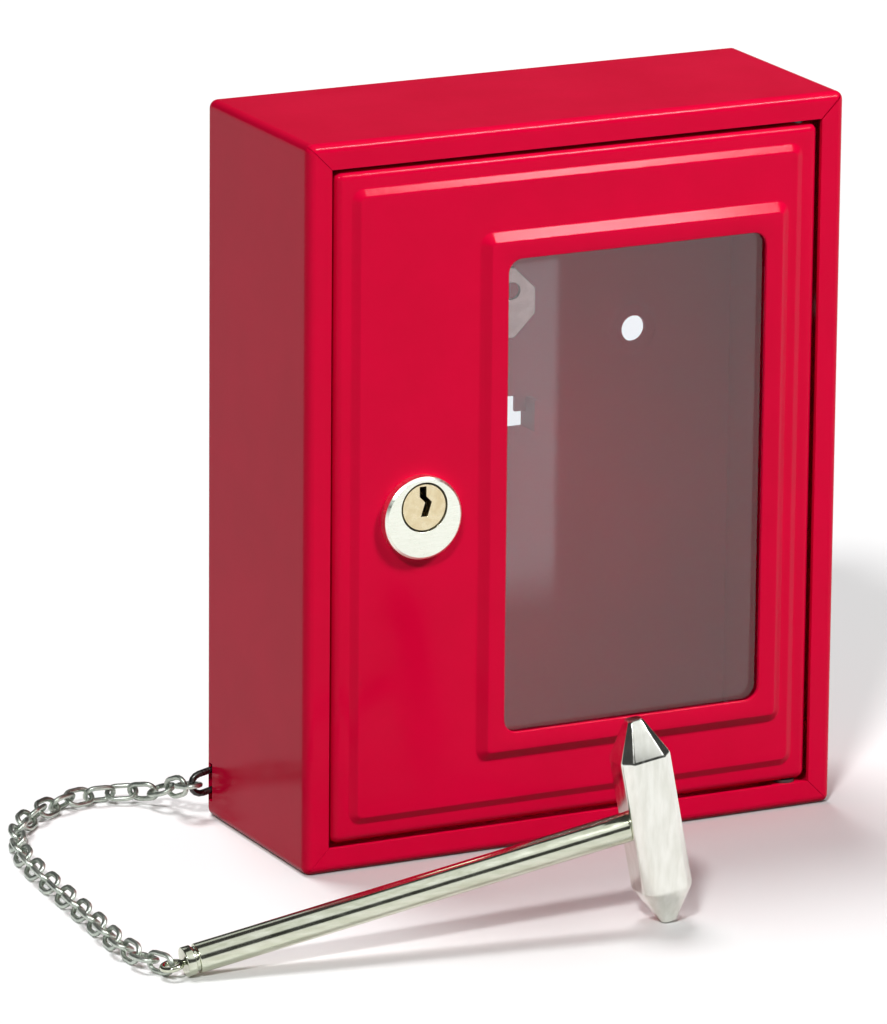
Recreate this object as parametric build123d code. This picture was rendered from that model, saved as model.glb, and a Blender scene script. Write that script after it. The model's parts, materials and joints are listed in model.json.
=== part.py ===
"""Break-glass key box: a folded steel case with a glazed, lockable door, and a hammer on a chain.

Millimetres. X runs to the right, Y to the back and Z up. The origin is the centre of the case's underside,
so the case stands on Z = 0 with its door towards -Y.
"""
import os
from math import atan, cos, degrees, exp, pi, sin

from build123d import *

# Case: one folded sheet with a back, four sides and a front rim
case_width = 120.0
case_height = 150.0
case_depth = 47.0
case_sheet = 1.0
case_bend_radius = 1.8
rim_width = 5.2
mitre_seam_width = 0.3

# Wall fixing: two holes in raised rings of the back
wall_hole_diameter = 5.5
wall_hole_inset = 24.0
wall_hole_below_top = 57.0
dimple_foot_diameter = 12.0
dimple_top_diameter = 9.2
dimple_rise = 0.8

# Key hook: an L-shaped tongue cut in the back and folded forward
hook_root_x = 11.0
hook_below_middle = 0.2
hook_arm_height = 3.2
hook_arm_length = 5.8
hook_tip_width = 4.0
hook_tip_height = 6.6

# Door: a pressed tray with two raised steps and a window
door_gap = 0.8
door_sheet = 1.0
door_return_depth = 9.0
door_bend_radius = 1.8
border_width = 3.6
panel_rise = 1.0
panel_bevel = 1.6
frame_rise = 1.5
frame_bevel = 2.0
frame_margin = 3.7
step_corner_radius = 2.8
window_inset_left = 37.2
window_inset_right = 12.8
window_inset_bottom = 19.3
window_inset_top = 20.7
window_corner_radius = 3.0

# Glass pane and what holds it
pane_thickness = 2.0
pane_overlap = 3.1
pane_play = 0.05
pane_arris = 0.2
channel_sheet = 0.8
channel_foot_width = 1.5
channel_joggle = 0.5
channel_lip_setback = 1.2
channel_end_setback = 8.0
clip_sheet = 1.0
clip_reach = 7.0
clip_width = 20.5
clip_height = 14.4
clip_middle_below_window_top = 9.4
clip_chamfer = 4.6
clip_slot_width = 3.4
clip_slot_end_inset = 3.4
clip_slot_rise = 2.4
stud_diameter = 3.0
stud_length = 5.0
clip_nut_across_flats = 5.5
clip_nut_thickness = 2.4

# Hinge: fixed pins at the top and bottom right, held in angle brackets
hinge_inset = 3.6
hinge_setback = 2.8
pin_diameter = 2.5
pin_head_diameter = 3.4
pin_head_thickness = 1.0
pin_engagement = 3.0
running_clearance = 0.05
bracket_sheet = 1.5
bracket_leg_height = 12.0
bracket_depth = 8.0
bracket_overhang = 3.4
washer_diameter = 4.4
washer_play = 0.1

# Lock: a pin tumbler cylinder with its plug above the middle of its face
lock_inset = 18.4
lock_below_middle = 2.4
lock_face_diameter = 17.0
lock_face_thickness = 2.4
lock_face_chamfer = 0.5
barrel_diameter = 15.6
barrel_across_flats = 13.8
barrel_length = 17.5
barrel_clearance = 0.1
plug_offset = 2.3
plug_diameter = 9.0
plug_face_diameter = 9.8
plug_face_thickness = 1.6
plug_face_recess = 0.15
keyway_depth = 15.5
keyway_width = 1.5
keyway_step = 0.9
keyway_top = 4.3
keyway_bottom = -1.9
keyway_bend = 0.4
bore_into_keyway = 0.5
tumbler_count = 5
tumbler_pitch = 2.7
tumbler_first = 3.2
tumbler_diameter = 2.0
tumbler_sides = 12
tumbler_bore_clearance = 0.06
key_pin_lengths = (2.3, 1.7, 2.5, 1.9, 2.1)
driver_length = 2.2
shear_gap = 0.12
strip_thickness = 0.8
lock_washer_diameter = 20.0
lock_washer_thickness = 0.8
lock_nut_across_flats = 19.0
lock_nut_thickness = 3.0
fit_gap = 0.05

# Cam on the back of the plug, and the strike plate that it turns behind
cam_gap = 0.4
cam_thickness = 2.0
cam_width = 11.0
cam_length = 20.4
cam_blade_width = 8.8
cam_square = 6.0
cam_washer_diameter = 9.0
cam_washer_thickness = 0.8
cam_screw_diameter = 4.0
cam_screw_length = 6.0
cam_screw_head_diameter = 7.0
cam_screw_head_height = 2.2
screw_slot_width = 1.1
screw_slot_depth = 1.0
strike_sheet = 1.5
strike_lip = 6.0
strike_depth = 10.0
strike_height = 30.0
strike_clearance = 0.5

# Chain: oval wire links from a stud inside the case to the hammer's eye
wire_sides = 6
link_bend_runs = 4
link_wire = 1.05
link_length = 7.1
link_width = 4.8
link_slack = 0.25
link_lean = 45.0
link_count_bias = 0.35
end_link_wire = 1.4
end_link_length = 10.4
end_link_width = 5.6
end_link_droop = 12.0
chain_height = 8.5
chain_slot_width = 1.9
chain_slot_height = 8.0
chain_slot_from_back = 2.2
chain_slot_drop = 1.0
chain_stud_diameter = 2.0
chain_stud_inset = 2.8
chain_stud_head_diameter = 3.6
chain_stud_head_thickness = 0.8
chain_stud_play = 0.15
chain_route = [(-66.0, 29.5, 2.0), (-70.5, 36.5, 0.2), (-78.5, 39.2, 0), (-87.0, 37.0, 0), (-94.5, 32.2, 0),
               (-100.5, 25.6, 0), (-104.9, 17.0, 0), (-107.8, 7.0, 0), (-109.4, -4.0, 0), (-110.4, -16.0, 0),
               (-111.4, -28.0, 0), (-112.5, -40.0, 0), (-113.6, -51.0, 0), (-113.4, -60.0, 0)]
floor_gap = 0.03
twist_fade = 4.0

# Hammer: a square head on a round handle, with an eye for the chain
handle_diameter = 6.0
handle_reach = 99.0
handle_end_chamfer = 0.5
handle_groove_from_end = 2.2
handle_groove_width = 0.8
handle_groove_depth = 0.5
head_length = 43.0
head_across = 10.5
head_edge_chamfer = 1.9
head_point_length = 7.5
head_tip_across = 3.0
eye_wire = 1.2
eye_ring_diameter = 3.8
eye_ring_runs = 12
eye_shank_length = 8.0
eye_shank_play = 1.0
hammer_yaw = -5.1
hammer_end = (-107.9, -69.5)

# Cutting shapes stand out of what they cut by this much
overcut = 1.0

# Planes that several pieces share
front = -case_depth / 2
back = case_depth / 2
back_inner = back - case_sheet
side_inner = case_width / 2 - case_sheet
door_left = -case_width / 2 + rim_width + door_gap
door_right = -door_left
door_bottom = rim_width + door_gap
door_top = case_height - door_bottom
window_left = door_left + window_inset_left
window_right = door_right - window_inset_right
window_bottom = door_bottom + window_inset_bottom
window_top = door_top - window_inset_top
lock_x = door_left + lock_inset
lock_z = case_height / 2 - lock_below_middle
wall_hole_height = case_height - wall_hole_below_top
hook_bottom = case_height / 2 - hook_below_middle
panel_face = front - panel_rise
frame_face = panel_face - frame_rise
panel_back = panel_face + door_sheet
frame_back = frame_face + door_sheet
hinge_x = door_right - hinge_inset
hinge_y = front + hinge_setback
plug_z = lock_z + plug_offset
barrel_end = panel_face + barrel_length
cam_front = barrel_end + cam_gap
cam_back = cam_front + cam_thickness
pane_front = frame_back + pane_play
pane_back = pane_front + pane_thickness


def block(x0, x1, y0, y1, z0, z1):
    """A rectangular solid from its two corners."""
    return Pos((x0 + x1) / 2, (y0 + y1) / 2, (z0 + z1) / 2) * Box(abs(x1 - x0), abs(y1 - y0), abs(z1 - z0))


def rod(diameter, x, z, y0, y1):
    """A cylinder along Y."""
    return Pos(x, (y0 + y1) / 2, z) * Rot(90, 0, 0) * Cylinder(diameter / 2, abs(y1 - y0))


def post(diameter, x, y, z0, z1):
    """A cylinder along Z."""
    return Pos(x, y, (z0 + z1) / 2) * Cylinder(diameter / 2, abs(z1 - z0))


def rectangle_at(x0, x1, z0, z1, y):
    """A rectangular face that looks along Y."""
    plane = Plane(origin=((x0 + x1) / 2, y, (z0 + z1) / 2), x_dir=(1, 0, 0), z_dir=(0, -1, 0))
    return plane * Rectangle(x1 - x0, z1 - z0)


def prism(outline, start, x_dir, along, length):
    """An outline of points, drawn square to along at start and carried by length."""
    plane = Plane(origin=start, x_dir=x_dir, z_dir=along)
    return extrude(plane * Polygon(*outline, align=None), amount=length, dir=along)


def prism_y(outline, y0, y1):
    """An outline of (x, z) points, carried from y0 to y1."""
    return prism([(x, -z) for x, z in outline], (0, y0, 0), (1, 0, 0), (0, 1, 0), y1 - y0)


def hex_prism(across_flats, x, z, y0, y1):
    """A hexagonal prism along Y."""
    plane = Plane(origin=(x, y1, z), x_dir=(1, 0, 0), z_dir=(0, -1, 0))
    return extrude(plane * RegularPolygon(across_flats / 2, 6, major_radius=False), amount=y1 - y0)


def case_block(inset):
    """The case's outer block, moved in by inset for its inside."""
    half = case_width / 2 - inset
    return block(-half, half, front + inset, back - inset, inset, case_height - inset)


def mitre_seams():
    """The thin open seams where the rim's four flanges meet."""
    length = rim_width * 2 ** 0.5
    middle_x = case_width / 2 - rim_width / 2 - case_sheet / 2
    low_z = rim_width / 2 + case_sheet / 2
    seams = []
    for side in (-1, 1):
        for z, turn in ((case_height - low_z, 1), (low_z, -1)):
            seam = Box(length, 3 * case_sheet, mitre_seam_width)
            seams.append(Pos(side * middle_x, front, z) * Rot(0, -side * turn * 45, 0) * seam)
    return seams


def wall_dimple(x):
    """A raised ring of the back as (solid to add inside, solid to take from outside, hole)."""
    foot, top = dimple_foot_diameter / 2, dimple_top_diameter / 2
    cone = Rot(90, 0, 0) * Cone(foot, top, dimple_rise)
    inside = Pos(x, back_inner - dimple_rise / 2, wall_hole_height) * cone
    outside = Pos(x, back - dimple_rise / 2, wall_hole_height) * cone
    hole = rod(wall_hole_diameter, x, wall_hole_height, back_inner - 2 * dimple_rise, back + dimple_rise)
    return inside, outside, hole


def hook_outline(root, away):
    """The L of the key hook as (distance, z) points, from its root line."""
    end = root + away * hook_arm_length
    tip = end - away * hook_tip_width
    arm_top = hook_bottom + hook_arm_height
    tip_top = hook_bottom + hook_tip_height
    return [(root, hook_bottom), (end, hook_bottom), (end, tip_top),
            (tip, tip_top), (tip, arm_top), (root, arm_top)]


def key_hook():
    """The hook's tongue, folded forward about its root line."""
    outline = hook_outline(back_inner + case_sheet / 2, -1)
    return prism(outline, (hook_root_x, 0, 0), (0, 1, 0), (1, 0, 0), case_sheet)


def make_case_shell():
    half = case_width / 2
    shell = case_block(0)
    shell = fillet(shell.edges(), case_bend_radius) - case_block(case_sheet)
    opening = half - rim_width
    shell -= block(-opening, opening, front - case_sheet, front + 2 * case_sheet,
                   rim_width, case_height - rim_width)
    for seam in mitre_seams():
        shell -= seam
    for side in (-1, 1):
        inside, outside, hole = wall_dimple(side * (half - wall_hole_inset))
        shell = shell + inside - outside - hole
    shell -= prism_y(hook_outline(hook_root_x, -1), back_inner - case_sheet, back + case_sheet)
    shell += key_hook()
    slot_y = back - chain_slot_from_back
    slot_middle = chain_height - chain_slot_drop
    shell -= block(-half - case_sheet, -side_inner + case_sheet, slot_y - chain_slot_width / 2,
                   slot_y + chain_slot_width / 2, slot_middle - chain_slot_height / 2,
                   slot_middle + chain_slot_height / 2)
    return shell


def make_strike_plate():
    wall = -side_inner
    lip_back = cam_front - strike_clearance
    lip_front = lip_back - strike_sheet
    low, high = plug_z - strike_height / 2, plug_z + strike_height / 2
    leg = block(wall, wall + strike_sheet, lip_back - strike_depth, lip_back, low, high)
    return leg + block(wall, wall + strike_lip, lip_front, lip_back, low, high)


def hinge_bracket(side):
    """An angle bracket behind the rim; side is 1 at the top and -1 at the bottom."""
    middle = case_height / 2
    near = door_top - middle + door_gap
    far = near + bracket_sheet
    y0, y1 = front + case_sheet, front + case_sheet + bracket_depth
    arm = block(hinge_x - bracket_overhang, side_inner, y0, y1, middle + side * near, middle + side * far)
    leg = block(side_inner - bracket_sheet, side_inner, y0, y1,
                middle + side * (far - bracket_leg_height), middle + side * far)
    hole = post(pin_diameter + 2 * fit_gap, hinge_x, hinge_y, middle + side * (near - overcut),
                middle + side * (far + overcut))
    return arm + leg - hole


def hinge_pin(side):
    """A headed pin, put through its bracket into the door's return."""
    middle = case_height / 2
    head_seat = door_top - middle + door_gap + bracket_sheet
    tip = door_top - middle - pin_engagement
    shank = post(pin_diameter, hinge_x, hinge_y, middle + side * tip, middle + side * head_seat)
    return shank + post(pin_head_diameter, hinge_x, hinge_y, middle + side * head_seat,
                        middle + side * (head_seat + pin_head_thickness))


def make_hinge_washer():
    seat = door_bottom - door_gap
    ring = post(washer_diameter, hinge_x, hinge_y, seat, door_bottom - washer_play)
    return ring - post(pin_diameter + 2 * fit_gap, hinge_x, hinge_y, seat - overcut, door_bottom + overcut)


def panel_rectangle(inset):
    return (door_left + border_width + inset, door_right - border_width - inset,
            door_bottom + border_width + inset, door_top - border_width - inset)


def frame_rectangle(inset):
    reach = frame_margin + frame_bevel - inset
    return window_left - reach, window_right + reach, window_bottom - reach, window_top + reach


def pressed_step(foot, bevel, y_foot, rise):
    """A raised step of the sheet: a rectangle that narrows by its bevel towards its face."""
    outline = rectangle_at(*foot, y_foot)
    outline = fillet(outline.vertices(), step_corner_radius)
    return extrude(outline, amount=rise, taper=degrees(atan(bevel / rise)))


def door_block(inset, y0, y1):
    """The tray's block without its steps, moved in by inset for its inside."""
    return block(door_left + inset, door_right - inset, y0, y1, door_bottom + inset, door_top - inset)


def door_steps(shift):
    """Both raised steps, moved back by shift for the inside of the sheet."""
    panel = pressed_step(panel_rectangle(0), panel_bevel, front + shift, panel_rise)
    frame = pressed_step(frame_rectangle(0), frame_bevel, panel_face + shift, frame_rise)
    return panel + frame


def lock_hole(clearance):
    """The barrel's section, a round with two flats, as a face that looks forward."""
    plane = Plane(origin=(lock_x, panel_face, lock_z), x_dir=(1, 0, 0), z_dir=(0, 1, 0))
    width = barrel_across_flats + 2 * clearance
    return plane * (Circle(barrel_diameter / 2 + clearance) & Rectangle(width, 2 * barrel_diameter))


def make_door_panel():
    door = door_block(0, front, front + door_return_depth)
    door = fillet(door.edges().filter_by(Axis.Y) + door.faces().sort_by(Axis.Y)[0].edges(), door_bend_radius)
    door += door_steps(0)
    door -= door_block(door_sheet, front + door_sheet, front + 2 * door_return_depth)
    door -= door_steps(door_sheet)
    window = rectangle_at(window_left, window_right, window_bottom, window_top, back)
    window = fillet(window.vertices(), window_corner_radius)
    door -= extrude(window, amount=2 * case_depth)
    door -= extrude(lock_hole(barrel_clearance), amount=2 * door_sheet, both=True)
    door -= post(pin_diameter + 2 * running_clearance, hinge_x, hinge_y, -overcut, case_height + overcut)
    return door


def make_glass_pane():
    pane = block(window_left - pane_overlap, window_right + pane_overlap, pane_front, pane_back,
                 window_bottom - pane_overlap, window_top + pane_overlap)
    return chamfer(pane.edges(), pane_arris)


def channel_profile(foot_edge, lip_edge, away):
    """The joggled strip's section, as (distance, y) points; away points from the pane to the foot."""
    seat = pane_back + pane_play
    inner = foot_edge - away * (channel_foot_width + channel_joggle)
    bend = foot_edge - away * channel_foot_width
    return [(lip_edge, seat), (inner, seat), (bend, panel_back), (foot_edge, panel_back),
            (foot_edge, panel_back + channel_sheet), (bend, panel_back + channel_sheet),
            (inner, seat + channel_sheet), (lip_edge, seat + channel_sheet)]


def make_channel_right():
    foot_edge = frame_rectangle(0)[1] + channel_foot_width + channel_joggle / 2
    outline = channel_profile(foot_edge, window_right + channel_lip_setback, 1)
    start = (0, 0, window_bottom + channel_end_setback)
    length = window_top - window_bottom - 2 * channel_end_setback
    return prism(outline, start, (1, 0, 0), (0, 0, 1), length)


def make_channel_bottom():
    foot_edge = frame_rectangle(0)[2] - channel_foot_width - channel_joggle / 2
    outline = [(y, z) for z, y in channel_profile(foot_edge, window_bottom - channel_lip_setback, -1)]
    length = window_right - window_left - 2 * channel_end_setback
    return prism(outline, (window_left + channel_end_setback, 0, 0), (0, 1, 0), (1, 0, 0), length)


def clip_places():
    """The clip's right edge, middle height, slot height and stud place."""
    right = window_left + clip_reach
    middle = window_top - clip_middle_below_window_top
    return right, middle, middle + clip_slot_rise, right - clip_width + clip_slot_end_inset


def make_pane_clip():
    right, middle, slot_z, stud_x = clip_places()
    seat = pane_back + pane_play
    left = right - clip_width
    step = frame_rectangle(0)[0] - channel_joggle
    profile = [(left, panel_back), (step - seat + panel_back, panel_back), (step, seat), (right, seat),
               (right, seat + clip_sheet), (step, seat + clip_sheet),
               (step - seat + panel_back, panel_back + clip_sheet), (left, panel_back + clip_sheet)]
    clip = prism(profile, (0, 0, middle - clip_height / 2), (1, 0, 0), (0, 0, 1), clip_height)
    high, low, cut = middle + clip_height / 2, middle - clip_height / 2, clip_chamfer
    outline = [(left, low), (right - cut, low), (right, low + cut), (right, high - cut), (right - cut, high),
               (left, high)]
    clip &= prism_y(outline, panel_back - overcut, seat + 2 * clip_sheet)
    slot_right = right - clip_slot_end_inset - clip_slot_width / 2
    for x in (stud_x, slot_right):
        clip -= rod(clip_slot_width, x, slot_z, panel_back - overcut, seat + 2 * clip_sheet)
    half = clip_slot_width / 2
    return clip - block(stud_x, slot_right, panel_back - overcut, seat + 2 * clip_sheet, slot_z - half,
                        slot_z + half)


def make_clip_stud():
    _, _, slot_z, stud_x = clip_places()
    return rod(stud_diameter, stud_x, slot_z, panel_back, panel_back + stud_length)


def make_clip_nut():
    _, _, slot_z, stud_x = clip_places()
    seat = panel_back + clip_sheet
    nut = hex_prism(clip_nut_across_flats, stud_x, slot_z, seat, seat + clip_nut_thickness)
    return nut - rod(stud_diameter + 2 * fit_gap, stud_x, slot_z, seat - overcut, seat + stud_length)


def lock_face():
    """The lock's front disc, with a turned edge."""
    disc = rod(lock_face_diameter, lock_x, lock_z, panel_face - lock_face_thickness, panel_face)
    return chamfer(disc.faces().sort_by(Axis.Y)[0].edges(), lock_face_chamfer)


def tumbler_places():
    return [panel_face + tumbler_first + tumbler_pitch * i for i in range(tumbler_count)]


def tumbler_row(diameter, spans):
    """A row of upright many-sided pins through the lock, one for each (bottom, top)."""
    outline = RegularPolygon(diameter / 2, tumbler_sides)
    return [extrude(Pos(lock_x, y, low) * outline, amount=high - low, dir=(0, 0, 1))
            for y, (low, high) in zip(tumbler_places(), spans)]


def tumbler_bores(low, high):
    """The row of pin chambers, upright in the lock."""
    return tumbler_row(tumbler_diameter + 2 * tumbler_bore_clearance, [(low, high)] * tumbler_count)


def strip_seat():
    """The bottom and top of the strip that closes the pin chambers."""
    bottom = lock_z - barrel_diameter / 2
    return bottom + strip_thickness / 4, bottom + strip_thickness * 5 / 4


def make_lock_body():
    body = lock_face() + extrude(lock_hole(0), amount=barrel_length)
    face = panel_face - lock_face_thickness - overcut
    body -= rod(plug_diameter + 2 * running_clearance, lock_x, plug_z, face, barrel_end + overcut)
    seat = panel_face - lock_face_thickness + plug_face_recess + plug_face_thickness
    body -= rod(plug_face_diameter + 2 * running_clearance, lock_x, plug_z, face, seat + running_clearance)
    low, high = strip_seat()
    for bore in tumbler_bores(low, plug_z):
        body -= bore
    places = tumbler_places()
    half = tumbler_diameter / 2 + tumbler_bore_clearance
    body -= block(lock_x - half, lock_x + half, places[0] - half, places[-1] + half, low - overcut, high)
    return body


def make_driver_pins():
    top = plug_z - plug_diameter / 2 - shear_gap
    return Compound(children=tumbler_row(tumbler_diameter, [(top - driver_length, top)] * tumbler_count))


def make_pin_springs():
    top = plug_z - plug_diameter / 2 - shear_gap - driver_length - fit_gap
    low = strip_seat()[1] + fit_gap
    return Compound(children=tumbler_row(tumbler_diameter, [(low, top)] * tumbler_count))


def make_chamber_strip():
    low, high = strip_seat()
    places = tumbler_places()
    half = tumbler_diameter / 2 + tumbler_bore_clearance / 2
    return block(lock_x - half, lock_x + half, places[0] - half, places[-1] + half, low, high)


def keyway():
    """The zigzag key slot, from the front of the plug."""
    half, step = keyway_width / 2, keyway_step
    z0, z1 = plug_z + keyway_bottom, plug_z + keyway_top
    third = (z1 - z0) / 3
    left = [(lock_x - half - step / 3, z1), (lock_x - half - step / 3, z1 - third),
            (lock_x - half + step, z1 - third - keyway_bend * (z1 - z0) / 2), (lock_x - half, z0)]
    right = [(x + keyway_width, z) for x, z in reversed(left)]
    front_face = panel_face - lock_face_thickness
    return prism_y(left + right, front_face - overcut, front_face + keyway_depth)


def make_lock_plug():
    face = panel_face - lock_face_thickness + plug_face_recess
    plug = rod(plug_face_diameter, lock_x, plug_z, face, face + plug_face_thickness)
    plug += rod(plug_diameter, lock_x, plug_z, face, cam_front)
    half = cam_square / 2
    plug += block(lock_x - half, lock_x + half, barrel_end, cam_back - fit_gap, plug_z - half, plug_z + half)
    plug -= keyway()
    for bore in tumbler_bores(plug_z - plug_diameter, plug_z + keyway_bottom + bore_into_keyway):
        plug -= bore
    screw_end = cam_back + cam_washer_thickness - cam_screw_length
    screw_hole = cam_screw_diameter + 2 * fit_gap
    return plug - rod(screw_hole, lock_x, plug_z, screw_end - fit_gap, cam_back + overcut)


def make_key_pins():
    low = plug_z - plug_diameter / 2 + shear_gap
    spans = [(low, low + length) for length in key_pin_lengths]
    return Compound(children=tumbler_row(tumbler_diameter, spans))


def make_lock_washer():
    washer = rod(lock_washer_diameter, lock_x, lock_z, panel_back, panel_back + lock_washer_thickness)
    hole = rod(barrel_diameter + 2 * fit_gap, lock_x, lock_z, panel_back - overcut, panel_back + overcut)
    return washer - hole


def make_lock_nut():
    seat = panel_back + lock_washer_thickness
    nut = hex_prism(lock_nut_across_flats, lock_x, lock_z, seat, seat + lock_nut_thickness)
    return nut - rod(barrel_diameter + 2 * fit_gap, lock_x, lock_z, seat - overcut,
                     seat + lock_nut_thickness + overcut)


def make_lock_cam():
    half = cam_width / 2
    plane = Plane(origin=(lock_x, cam_back, plug_z), x_dir=(1, 0, 0), z_dir=(0, -1, 0))
    blade = Pos(0, -cam_length / 2 + half / 2, 0) * Rectangle(cam_blade_width, cam_length - half)
    tip = Pos(0, -cam_length + half / 2, 0) * Rectangle(cam_blade_width, half)
    outline = Circle(half) + blade + tip - Rectangle(cam_square + 2 * fit_gap, cam_square + 2 * fit_gap)
    return extrude(plane * outline, amount=cam_thickness)


def make_cam_washer():
    washer = rod(cam_washer_diameter, lock_x, plug_z, cam_back, cam_back + cam_washer_thickness)
    screw_hole = cam_screw_diameter + 2 * fit_gap
    return washer - rod(screw_hole, lock_x, plug_z, cam_back - overcut, cam_back + overcut)


def make_cam_screw():
    seat = cam_back + cam_washer_thickness
    top = seat + cam_screw_head_height
    screw = rod(cam_screw_diameter, lock_x, plug_z, seat - cam_screw_length, seat)
    head = rod(cam_screw_head_diameter, lock_x, plug_z, seat, top)
    head = chamfer(head.faces().sort_by(Axis.Y)[-1].edges(), cam_screw_head_height / 3)
    half = screw_slot_width / 2
    slot = block(lock_x - cam_screw_head_diameter, lock_x + cam_screw_head_diameter, top - screw_slot_depth,
                 top + overcut, plug_z - half, plug_z + half)
    return screw + head - slot


def bent_wire(points, wire):
    """A closed wire of short straight runs in the XY plane, with a many-sided section."""
    first_run = Line(points[0], points[1])
    start = first_run @ 0.5
    section = Plane(origin=start, z_dir=first_run % 0.5) * RegularPolygon(wire / 2, wire_sides)
    route = Polyline(start, *points[1:], points[0], start)
    return sweep(section, path=route, transition=Transition.RIGHT)


def oval_link(length, width, wire):
    """An oval link of wire in the XY plane, with its long axis along X."""
    bend, run = (width - wire) / 2, (length - width) / 2
    turns = [pi * step / link_bend_runs - pi / 2 for step in range(link_bend_runs + 1)]
    points = [(side * (run + bend * cos(turn)), side * bend * sin(turn))
              for side in (1, -1) for turn in turns]
    return bent_wire(points, wire)


def end_link_frame():
    """Where the end link lies: its middle, and the way from the stud to the chain."""
    stud_x = -side_inner + chain_stud_inset - case_sheet
    way = Vector(-cos(end_link_droop * pi / 180), 0, -sin(end_link_droop * pi / 180))
    reach = end_link_length / 2 - end_link_wire - chain_stud_diameter / 2 - chain_stud_play
    start = Vector(stud_x, back - chain_slot_from_back, chain_height)
    return start + way * reach, way


def place_link(link, middle, way, roll):
    """Turn a link's long axis to way, and its plane by roll degrees from level."""
    across = Vector(0, 0, 1).cross(way).normalized()
    up = way.cross(across)
    tilt = roll * pi / 180
    return Plane(origin=middle, x_dir=way, z_dir=up * cos(tilt) + across * sin(tilt)).location * link


def hammer_tilt():
    """The handle's rise when its end and the head's lower tip both touch the ground."""
    drop = head_length / 2 - handle_diameter / 2
    return degrees(atan(drop / (handle_reach - head_tip_across / 2)))


def hammer_location():
    """The hammer's place: its own X runs from the handle's end to the head."""
    lift = handle_diameter / 2 * cos(hammer_tilt() * pi / 180)
    return Pos(hammer_end[0], hammer_end[1], lift) * Rot(0, 0, hammer_yaw) * Rot(0, -hammer_tilt(), 0)


def eye_middle():
    """The ring's middle, measured from the handle's end."""
    return -(eye_ring_diameter + eye_wire) / 2


def hammer_pivot():
    """The middle of the eye, where the last link's wire passes and the hammer swings."""
    return (hammer_location() * Pos(eye_middle(), 0, 0)).position


def link_lift(roll):
    """The height of a link's middle above the ground when it leans by roll degrees."""
    return (link_width - link_wire) / 2 * abs(sin(roll * pi / 180)) + link_wire / 2 + floor_gap


def link_roll(number, count):
    """A link's lean: to either side by turns, level at the first and upright at the last."""
    side, end_side = (-1) ** number, (-1) ** (count - 1)
    return link_lean * (side - exp(-number / twist_fade) + end_side * exp((number - count + 1) / twist_fade))


def chain_start():
    """Where the first link meets the end link's outer bend."""
    middle, way = end_link_frame()
    bar = middle + way * (end_link_length - end_link_wire) / 2
    x, y, lift = chain_route[0]
    first_way = (Vector(x, y, lift + link_lift(0)) - bar).normalized()
    return bar - first_way * ((link_wire + end_link_wire) / 4 + link_slack / 2)


def chain_joints():
    """The points where the links meet, and each link's roll."""
    start, pivot = chain_start(), hammer_pivot()
    last_way = (pivot - Vector(*chain_route[-1][:2], pivot.Z)).normalized()
    end = pivot - last_way * (link_wire + link_slack) / 2
    route = Spline((start.X, start.Y, start.Z - link_lift(0)), *chain_route, (end.X, end.Y, 0))
    pitch = link_length - 2 * link_wire - link_slack
    count = round(route.length / pitch + link_count_bias)
    rolls = [link_roll(number, count) for number in range(count)]
    joints = []
    for number in range(count + 1):
        spot = route.position_at(number / count)
        rest = max(link_lift(roll) for roll in rolls[max(number - 1, 0):number + 1])
        joints.append(Vector(spot.X, spot.Y, rest + max(spot.Z, 0)))
    return joints, rolls


def make_chain_links():
    joints, rolls = chain_joints()
    link = oval_link(link_length, link_width, link_wire)
    places = zip(joints, joints[1:], rolls)
    return Compound(children=[place_link(link, (a + b) / 2, (b - a).normalized(), roll)
                              for a, b, roll in places])


def make_chain_end_link():
    middle, way = end_link_frame()
    return place_link(oval_link(end_link_length, end_link_width, end_link_wire), middle, way, 90)


def make_chain_stud():
    stud_x = -side_inner + chain_stud_inset - case_sheet
    head_back = back - chain_slot_from_back - end_link_wire / 2 - chain_stud_play
    head_front = head_back - chain_stud_head_thickness
    shank = rod(chain_stud_diameter, stud_x, chain_height, head_back, back_inner)
    return shank + rod(chain_stud_head_diameter, stud_x, chain_height, head_front, head_back)


def make_hammer_handle():
    length = handle_reach - head_across / 2
    body = Pos(length / 2, 0, 0) * Rot(0, 90, 0) * Cylinder(handle_diameter / 2, length)
    body = chamfer(body.faces().sort_by(Axis.X)[0].edges(), handle_end_chamfer)
    groove = Cylinder(handle_diameter, handle_groove_width)
    groove -= Cylinder(handle_diameter / 2 - handle_groove_depth, handle_groove_width)
    body -= Pos(handle_groove_from_end, 0, 0) * Rot(0, 90, 0) * groove
    socket = Cylinder(eye_wire / 2 + fit_gap, eye_shank_length + overcut)
    body -= Pos((eye_shank_length - overcut) / 2, 0, 0) * Rot(0, 90, 0) * socket
    return hammer_location() * body


def make_hammer_head():
    shoulder = head_length / 2 - head_point_length
    bar = Box(head_across, head_across, head_length)
    bar = chamfer(bar.edges().filter_by(Axis.Z), head_edge_chamfer)
    slope = degrees(atan((head_across - head_tip_across) / 2 / head_point_length))
    point = extrude(Rectangle(head_across, head_across), amount=head_point_length, taper=slope)
    outline = Box(head_across, head_across, 2 * shoulder)
    outline += Pos(0, 0, shoulder) * point + Pos(0, 0, -shoulder) * Rot(180, 0, 0) * point
    return hammer_location() * Pos(handle_reach, 0, 0) * (bar & outline)


def make_hammer_eye():
    turns = [2 * pi * step / eye_ring_runs for step in range(eye_ring_runs)]
    radius = eye_ring_diameter / 2
    ring = bent_wire([(eye_middle() + radius * cos(turn), radius * sin(turn)) for turn in turns], eye_wire)
    shank_start = eye_middle() + eye_ring_diameter / 2 - eye_wire / 4
    shank_end = eye_shank_length - eye_shank_play
    shank = Pos((shank_start + shank_end) / 2, 0, 0) * Rot(0, 90, 0) * Cylinder(eye_wire / 2,
                                                                               shank_end - shank_start)
    return hammer_location() * (ring + shank)


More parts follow.
